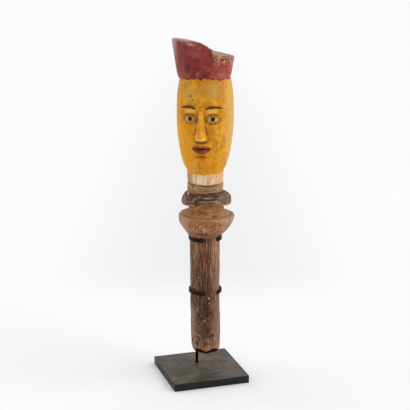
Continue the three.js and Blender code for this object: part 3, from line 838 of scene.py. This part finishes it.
class WandPaint(Shader):
    """The wand's material, with a method for each zone from the foot up."""

    def __init__(self):
        super().__init__("painted_wood")
        self.height = self.attribute("height")
        self.across = self.attribute("across")
        self.pale = self.attribute("pale")
        self.dark = self.attribute("dark")
        self.warm = self.attribute("warm")
        self.hollow = self.attribute("hollow")
        self.broad = self.noise(30, 2)
        self.patchy = self.noise(8, 3)
        self.small = self.noise(3, 3)
        self.fine = self.noise(1.1, 2)
        self.pores = self.cells(7)
        self.streak = self.noise(5, 3, (1, 1, 0.03))
        self.strand = self.noise(2.2, 2, (1, 1, 0.05))
        self.fibre = self.noise(1.2, 2, (1, 1, 0.07))
        self.grit = self.noise(1.5, 2, (1, 1, 0.4))
        self.blotch = self.noise(3, 3, (1, 1, 0.5))
        self.turned = self.noise(2.4, 3, (0.22, 0.22, 1.4))
        self.ragged = self.maths("MULTIPLY_ADD", self.small, 5, -2.5)
        self.torn_pale = self.torn(self.pale)
        self.torn_dark = self.torn(self.dark)
        self.torn_warm = self.torn(self.warm)

    def torn(self, field):
        """A marked field with ragged edges."""
        ragged = self.plus(field, self.maths("MULTIPLY_ADD", self.small, 1.2, -0.6))
        return self.times(self.ramp(ragged, 0.2, 0.6), self.ramp(field, 0, 0.2))

    def frayed(self, field):
        """A small spot with a broken outline."""
        return self.ramp(self.plus(field, self.maths("MULTIPLY_ADD", self.fine, 1.6, -0.8)), 0.25, 0.6)

    def uneven_height(self, unevenness):
        """The height in mm, so shifted up and down that an edge laid along it is ragged."""
        return self.plus(self.height, self.times(self.ragged, unevenness))

    def towards_sides(self, near, far):
        """0 in the middle of the front and 1 towards both its sides."""
        return self.ramp(self.maths("ABSOLUTE", self.across), near, far)

    def corner(self, height, full_height, across, full_across):
        """Grows into a corner of the front, from one height and place across to another."""
        beyond = self.ramp(self.height, height, full_height)
        return self.times(beyond, self.ramp(self.across, across, full_across))

    def grip(self):
        """Bare wood with fine lines along the grain, warmest in the middle and pitted towards the foot, with
        painted shade in the middle and painted sheen at the sides.
        """
        clearer = self.ramp(self.height, 70, 150, 0.7, 1)
        broken = self.times(clearer, self.ramp(self.small, 0.34, 0.56, 0.3, 1))
        gritty = self.ramp(self.height, 150, 80, 0.3, 1)
        low = self.ramp(self.height, 88, 56)
        specks = self.frayed(self.maths("MULTIPLY_ADD", self.pores, -5, 0.55))
        flakes = self.plus(self.times(specks, 0.5), self.frayed(self.attribute("chip")))
        return self.coats(
            self.blend(self.streak, 0.4, 0.6, (92, 52, 28), (116, 72, 42)),
            # Painted sheen: lighter towards both sides of the grip
            ((108, 84, 66), self.ramp(self.across, -4, -13), 0.75),
            ((160, 116, 88), self.ramp(self.across, 8, 14), 0.8),
            ((76, 47, 32), self.ramp(self.height, 170, 120), 0.6),
            ((150, 86, 42), self.warm, 0.6),
            # Painted sheen, pale grey on the lower left
            ((172, 152, 138), self.corner(108, 86, -7, -14), 0.75),
            ((160, 118, 88), self.ramp(self.strand, 0.54, 0.64), broken, 0.3),
            ((56, 34, 24), self.ramp(self.strand, 0.46, 0.37), broken, 0.3),
            ((176, 138, 108), self.ramp(self.fibre, 0.52, 0.62), broken, 0.6),
            ((50, 30, 20), self.ramp(self.fibre, 0.48, 0.38), broken, 0.75),
            ((46, 26, 18), self.ramp(self.grit, 0.46, 0.36), gritty, 0.7),
            ((172, 130, 100), self.ramp(self.grit, 0.56, 0.66), gritty, 0.5),
            ((176, 136, 104), self.pale, self.ramp(self.fibre, 0.4, 0.56)),
            ((140, 100, 70), low, 0.35),
            ((62, 36, 25), low, self.ramp(self.blotch, 0.52, 0.6), 0.75),
            ((172, 130, 96), low, self.ramp(self.blotch, 0.44, 0.36), 0.7),
            # Dark marks: stains, with painted shade down the middle and painted shadow above the lower clip
            ((62, 40, 32), self.dark, 0.66),
            # Painted sheen, greyish pink on the upper right
            ((138, 110, 100), self.corner(172, 150, 12, 18), 0.55),
            ((172, 128, 92), self.ramp(self.uneven_height(1.4), 50, 44), 0.55),
            ((48, 24, 14), self.attribute("pit"), 0.85),
            ((214, 188, 164), flakes),
            # The foot's cut facets: dark end grain, painted darker still as shade
            ((24, 9, 3), self.ramp(self.attribute("facet"), 0.3, -0.3)),
        )

    def bowl(self):
        """Bare orange-brown wood, its growth rings drawn out in ovals where the bowl swells."""
        wavy = self.plus(self.attribute("growth"), self.times(self.patchy, 4), self.times(self.small, 1.2))
        rings = self.maths("MULTIPLY_ADD", self.maths("SINE", self.times(wavy, 3)), 0.5, 0.5)
        clear = self.ramp(self.patchy, 0.34, 0.6, 0.3, 1)
        dull_foot = self.times(self.ramp(self.height, 206, 197), self.ramp(self.small, 0.3, 0.6, 0.25, 0.7))
        return self.coats(
            self.blend(self.patchy, 0.36, 0.64, (154, 98, 60), (174, 120, 78)),
            ((112, 64, 44), self.ramp(rings, 0.45, 0.9), clear, 0.7),
            ((204, 158, 112), self.ramp(rings, 0.35, 0), clear, 0.5),
            # Painted sheen: greyer towards both sides
            ((180, 142, 122), self.ramp(self.across, -8, -24), 0.6),
            ((172, 142, 118), self.ramp(self.across, 20, 32), 0.7),
            ((118, 70, 50), self.ramp(self.blotch, 0.54, 0.64), 0.5),
            ((200, 156, 116), self.ramp(self.blotch, 0.44, 0.34), 0.35),
            ((104, 70, 54), dull_foot),
            ((214, 170, 122), self.pale, clear, 0.75),
            (self.bowl_top(), self.ramp(self.height, RIM_Z - 0.6, RIM_Z + 0.6)),
            # Dark marks: stains, with painted shade under the ring's hanging lip
            ((84, 50, 38), self.torn_dark, 0.75),
        )

    def bowl_top(self):
        """The bowl's upper side and the waist: greyer to the sides as painted sheen, orange where the waist
        rises, lightened there as painted light against the ring's shadow.
        """
        line = self.band(self.uneven_height(0.3), RIM_Z + 0.8, RIM_Z + 2.4)
        return self.coats(
            self.blend(self.patchy, 0.36, 0.62, (152, 108, 68), (182, 136, 92)),
            # Painted sheen: greyer towards both sides
            ((180, 142, 114), self.towards_sides(10, 26), 0.5),
            # Orange on the waist, made lighter as painted light against the ring's shadow
            ((178, 122, 74), self.ramp(self.height, 225, 229), 0.7),
            ((196, 128, 76), self.torn_warm, 0.8),
            ((112, 78, 50), self.ramp(self.turned, 0.52, 0.64), 0.4),
            ((186, 144, 100), self.ramp(self.turned, 0.46, 0.36), 0.4),
            ((92, 62, 42), line, self.ramp(self.patchy, 0.36, 0.56), 0.55),
            ((200, 158, 112), self.torn_pale, 0.7),
            ((86, 50, 30), self.ramp(self.grit, 0.56, 0.68), 0.6),
        )

    def ring(self):
        """Dark stain, streaked the way it was turned."""
        return self.coats(
            self.blend(self.turned, 0.36, 0.6, (60, 41, 32), (104, 78, 60)),
            # Painted sheen: greyer towards both sides
            ((108, 92, 78), self.towards_sides(16, 28), 0.8),
            ((146, 118, 94), self.ramp(self.turned, 0.56, 0.64), 0.6),
            ((36, 24, 18), self.ramp(self.small, 0.56, 0.68), 0.5),
            ((148, 104, 72), self.torn_warm, 0.8),
            # Pale marks: worn wood, with a painted highlight on the lower right
            ((180, 152, 128), self.torn_pale, self.ramp(self.turned, 0.4, 0.56), 0.75),
            ((226, 196, 160), self.attribute("chip")),
            # Dark marks: stains, with painted shade at the ring's hanging lip
            ((28, 16, 12), self.torn_dark, 0.85),
        )

    def neck(self):
        """Scratched brown below the groove, and a pale dry band above it."""
        brown = self.coats(
            self.blend(self.turned, 0.38, 0.6, (132, 94, 60), (176, 138, 98)),
            ((180, 126, 94), self.ramp(self.across, 13, 18), 0.7),
            ((144, 124, 92), self.ramp(self.patchy, 0.45, 0.6), 0.5),
            # Pale marks: worn wood, with a painted highlight along the line where the neck meets the ring
            ((206, 172, 132), self.torn_pale, 0.8),
        )
        cream = self.coats(
            self.blend(self.strand, 0.4, 0.58, (216, 172, 126), (242, 212, 174)),
            ((176, 122, 72), self.ramp(self.across, -9, -18), 0.85),
            ((218, 164, 114), self.ramp(self.across, 5, 12), 0.6),
            ((168, 126, 92), self.ramp(self.small, 0.54, 0.68), 0.6),
            ((246, 228, 202), self.torn_pale, 0.7),
        )
        groove = self.band(self.uneven_height(0.25), GROOVE_Z - 2.2, GROOVE_Z + 0.5)
        aside = self.maths("ABSOLUTE", self.maths("SUBTRACT", self.across, 6))
        return self.coats(
            brown,
            (cream, self.ramp(self.height, GROOVE_Z, GROOVE_Z + 0.8)),
            ((84, 48, 28), groove, self.ramp(aside, 8, 14, 0.85, 0.25)),
            ((116, 80, 54), self.ramp(self.attribute("crack"), 0.5, 0.1), 0.7),
        )

    def face(self):
        """Ochre paint, thin in places and darker in its hollows with grime and painted shade, with the
        features painted over it.
        """
        white = self.blend(self.small, 0.4, 0.6, (198, 160, 112), (224, 194, 150))
        red = self.blend(self.patchy, 0.4, 0.6, (112, 34, 24), (138, 54, 40))
        return self.coats(
            self.blend(self.patchy, 0.35, 0.65, (202, 130, 16), (226, 160, 34)),
            ((206, 124, 14), self.ramp(self.broad, 0.46, 0.6), 0.5),
            ((170, 112, 26), self.ramp(self.streak, 0.54, 0.68), 0.5),
            ((160, 98, 20), self.ramp(self.small, 0.56, 0.72), 0.5),
            ((238, 184, 60), self.ramp(self.small, 0.46, 0.3), 0.5),
            # Darker in the hollows: grime with painted shade
            ((136, 82, 18), self.ramp(self.hollow, 0.05, 0.45), 0.65),
            ((242, 200, 96), self.ramp(self.hollow, -0.2, -0.5), 0.5),
            ((232, 156, 0), self.corner(352, 336, -2, -18), 0.55),
            ((176, 130, 70), self.ramp(self.height, 362, 376), self.ramp(self.broad, 0.4, 0.56), 0.35),
            ((198, 162, 84), self.pale, self.ramp(self.small, 0.3, 0.56, 0.4, 1)),
            # Painted sheen along the face's right side
            ((222, 180, 112), self.ramp(self.across, 24, 33), 0.5),
            ((78, 50, 26), self.torn_dark, 0.9),
            ((54, 36, 22), self.painted("brow"), 0.92),
            ((76, 48, 24), self.painted("eye", -1, -0.4), 0.8),
            (white, self.painted("eye", 0, 0.35)),
            ((40, 28, 20), self.painted("iris"), self.painted("eye")),
            (red, self.painted("lips"), 0.9),
            ((58, 26, 18), self.painted("parting", 0, 0.4)),
        )

    def painted(self, name, low=-0.2, high=0.2):
        """1 inside a painted feature, up to its slightly ragged edge."""
        edge = self.maths("MULTIPLY_ADD", self.fine, 0.9, -0.45)
        return self.ramp(self.plus(self.attribute(name), edge), low, high)

    def cap(self):
        """Brick red paint, with wood bare at its broken corner, a pale painted sheen at its ends, and
        painted shade along its front rim and in the front of its dish.
        """
        leaning = self.attribute("leaning")
        behind = self.attribute("behind")
        bright = self.blend(self.small, 0.4, 0.6, (182, 104, 90), (154, 66, 56))
        from_end = self.plus(self.across, self.times(self.ragged, 0.8))
        # Painted sheen: pale greyish pink at both ends of the cap
        left_end_sheen = self.times(self.ramp(from_end, -29.5, -34), self.ramp(self.height, 402, 436), 0.75)
        right_end_sheen = self.times(self.ramp(from_end, 29, 34), self.ramp(self.height, 404, 424), 0.65)
        bare_wood = self.coats(
            self.blend(self.small, 0.42, 0.58, (110, 52, 40), (192, 146, 116)),
            ((78, 36, 28), self.ramp(self.grit, 0.54, 0.62), 0.8),
        )
        laid_bare = self.ramp(self.plus(self.attribute("scoop"), self.times(self.small, 0.9)), 0.5, 1)
        near_top = self.ramp(self.height, CAP_TOP_Z - 2.2, CAP_TOP_Z - 1)
        # Painted shade: a dark line along the top of the front rim
        front_rim_shade = self.times(near_top, self.ramp(behind, -6, -18))
        whole = self.times(self.ramp(leaning, 0.1, 0), self.ramp(self.across, -20, -10))
        from_top = self.maths("SUBTRACT", self.uneven_height(0.7), CAP_TOP_Z)
        worn_rim = self.times(self.ramp(from_top, -3.6, -1.2), self.ramp(self.across, -8, -18))
        # The dish: dark dirt with painted shade towards the front, pale worn wood behind
        dish = self.coats(
            self.blend(behind, -12, 6, (70, 36, 34), (166, 142, 132)),
            ((174, 148, 140), self.ramp(self.across, -22, -30)),
        )
        return self.coats(
            self.blend(self.patchy, 0.32, 0.66, (120, 42, 37), (157, 65, 57)),
            ((92, 34, 32), self.ramp(self.small, 0.54, 0.7), 0.5),
            ((126, 66, 60), self.ramp(self.across, -12, -26), 0.5),
            (bright, self.corner(422, 402, 6, 20), 0.8),
            ((170, 88, 48), self.corner(406, 396, -12, -20), 0.5),
            ((112, 40, 26), self.ramp(self.height, 399, 395.5), 0.4),
            # Dark marks: blotches, with painted shade along the broken corner's ridge
            ((66, 34, 40), self.dark, self.ramp(self.small, 0.3, 0.6, 0.5, 1), 0.85),
            # Pale marks: worn paint, with painted highlights on the front rim and top front
            ((206, 146, 136), self.pale, self.ramp(self.small, 0.32, 0.6, 0.25, 1), 0.85),
            ((170, 138, 130), self.plus(left_end_sheen, right_end_sheen)),
            (bare_wood, laid_bare, 0.8),
            ((162, 142, 128), self.ramp(leaning, 0.25, 0.95), 0.85),
            ((70, 40, 38), front_rim_shade, whole, 0.8),
            ((174, 144, 136), worn_rim, 0.75),
            (dish, self.attribute("on_top"), self.ramp(self.attribute("inward"), 0.01, 0.04)),
        )

    def build(self):
        """The zones laid over one another, with rubbed edges on bare wood, specks on all, and grime with
        painted shade in the hollows.
        """
        lobes = self.maths("MULTIPLY_ADD", self.patchy, 6, -3)
        cap_edge = self.plus(self.uneven_height(0.3), lobes, self.times(self.warm, 3))
        rubbed = self.times(self.ramp(self.hollow, -0.22, -0.5), self.ramp(self.small, 0.3, 0.6))
        colour = self.coats(
            self.grip(),
            (self.bowl(), self.ramp(self.height, BOWL_Z - 0.4, BOWL_Z + 0.2)),
            (self.ring(), self.ramp(self.uneven_height(0.8), 235, 236.6)),
            (self.neck(), self.ramp(self.height, NECK_Z - 0.2, NECK_Z + 1.4)),
            (self.face(), self.ramp(self.uneven_height(1), 274.1, 275.1)),
            (self.cap(), self.ramp(cap_edge, 394.3, 395.7)),
            ((196, 158, 130), rubbed, self.ramp(self.height, 280, 270), 0.35),
            # Darker in the hollows: grime with painted shade
            ((58, 38, 26), self.ramp(self.hollow, 0.1, 0.5), 0.25),
            ((60, 42, 34), self.ramp(self.fine, 0.6, 0.75), 0.2),
        )
        bare = self.ramp(self.patchy, 0.3, 0.7, 0.46, 0.64)
        roughness = self.maths("SUBTRACT", bare, self.ramp(self.height, 270, 280, 0, 0.1))
        pitted = self.plus(self.times(self.fine, 0.5), self.times(self.small, 0.8))
        relief = self.plus(self.times(self.fibre, 0.6), pitted)
        return self.finish(colour, roughness, relief, 0.5, 0.12)


def steel_material(name, top, side, shine):
    """Blackened steel, thinly coated, with cloudy dust and wax where it faces up, and its upward faces
    lighter as a painted reflection.
    """
    steel = Shader(name)
    cloud = steel.noise(26, 4, warp=0.6)
    smudge = steel.noise(12, 3, (0.7, 1, 1), warp=0.8)
    grain = steel.noise(0.8, 2)
    brushed = steel.noise(1.4, 2, (0.08, 1, 1))
    facing_up = steel.dot(steel.add("NewGeometry", {}).outputs["Normal"], (0, 0, 1))
    dust_and_sheen = steel.coats(
        srgb(*top),
        ((120, 108, 96), steel.ramp(cloud, 0.35, 0.65), 0.35),
        ((44, 36, 31), steel.ramp(smudge, 0.52, 0.66), 0.55),
    )
    # Faces that look up take the lighter top colour with its dust: the lighter tone is a painted reflection
    colour = steel.mix(steel.ramp(facing_up, 0.6, 0.95), srgb(*side), dust_and_sheen)
    roughness = steel.ramp(cloud, 0.3, 0.7, 0.42, 0.56)
    relief = steel.plus(steel.times(grain, 0.5), steel.times(brushed, 0.5))
    return steel.finish(colour, roughness, relief, 0.05, shine)


# Scene
def towards(azimuth, elevation):
    """The way from the middle to a place: azimuth 0 is in front of the plate, 90 on its right side."""
    turn, lift = math.radians(azimuth), math.radians(elevation)
    return Vector((math.sin(turn) * math.cos(lift), -math.cos(turn) * math.cos(lift), math.sin(lift)))


def look_back(thing, away):
    """Turns a lamp or a camera to look back along the way that leads to it."""
    thing.rotation_euler = (-away).to_track_quat("-Z", "Y").to_euler()


def floor_material():
    """Pale paper, with a painted shade that leaves it a little greyer beside and behind the object than in
    front of it.
    """
    paper = Shader("pale_floor")
    turn = math.radians(VIEW_AZIMUTH)
    aside = paper.dot(paper.place, (math.cos(turn) / GREY_WIDTH, math.sin(turn) / GREY_WIDTH, 0))
    beyond = paper.dot(paper.place, (-math.sin(turn) / GREY_DEPTH, math.cos(turn) / GREY_DEPTH, 0))
    away = paper.maths("SQRT", paper.plus(paper.times(aside, aside), paper.times(beyond, beyond)))
    # Painted shade: greyer round the object, fading to the plain paper further out and in front
    colour = paper.mix(paper.ramp(away, 0.1, 1), FLOOR_NEAR, FLOOR_FAR)
    colour = paper.mix(paper.ramp(beyond, 0.1, 0.05), colour, FLOOR_FRONT)
    return paper.finish(colour, 0.9, paper.noise(3, 2), 0.02, 0.1)


def build_stage():
    """A plain pale floor, a white surround, and soft light from both sides and from above."""
    mesh = bpy.data.meshes.new("floor")
    turns = np.linspace(0, 2 * math.pi, 97)[:-1]
    rim = [(FLOOR_RADIUS * math.cos(turn), FLOOR_RADIUS * math.sin(turn), 0) for turn in turns]
    mesh.from_pydata(rim, [], [tuple(range(len(rim)))])
    mesh.materials.append(floor_material())
    floor = in_scene("floor", mesh)

    world = bpy.data.worlds.new("surround")
    world.use_nodes = True
    background = world.node_tree.nodes["Background"]
    background.inputs["Color"].default_value = (1, 1, 1, 1)
    background.inputs["Strength"].default_value = SURROUND_STRENGTH
    bpy.context.scene.world = world

    for name, (bearing, elevation, spread, strength) in LIGHTS.items():
        light = bpy.data.lights.new(name, "SUN")
        light.angle = math.radians(spread)
        light.energy = math.pi * strength
        lamp = in_scene(name, light)
        away = towards(VIEW_AZIMUTH + bearing, elevation)
        lamp.location = away * 2
        look_back(lamp, away)


def build_camera():
    """The photograph's camera, a step to the right of the line through the stand's middle."""
    turn = math.radians(VIEW_AZIMUTH)
    right = Vector((math.cos(turn), math.sin(turn), 0))
    away = towards(VIEW_AZIMUTH, VIEW_ELEVATION)
    camera = in_scene("camera", bpy.data.cameras.new("camera"))
    camera.data.lens = LENS
    camera.location = Vector((0, 0, VIEW_TARGET_Z)) + right * VIEW_SIDESTEP + away * VIEW_DISTANCE
    look_back(camera, away)
    bpy.context.scene.camera = camera


add_piece("wand_carving", wand_mesh(), WandPaint().build(), "wand", 50)
# Top colours lighter than the side colours: painted reflection
plate_steel = steel_material("plate_steel", (64, 55, 48), (22, 19, 17), 0.28)
bar_steel = steel_material("bar_steel", (44, 23, 12), (36, 18, 9), 0.1)
post_steel = steel_material("post_steel", (16, 8, 4), (9, 4, 2), 0.04)
add_piece("stand_plate", plate_mesh(), plate_steel, "base_plate")
add_piece("stand_post", post_mesh(), post_steel, "post")
for node, shape in CLIPS.items():
    add_piece("stand_" + node, clip_mesh("stand_" + node, *shape), bar_steel, node)
build_stage()
build_camera()
bpy.context.scene.view_settings.view_transform = "Standard"
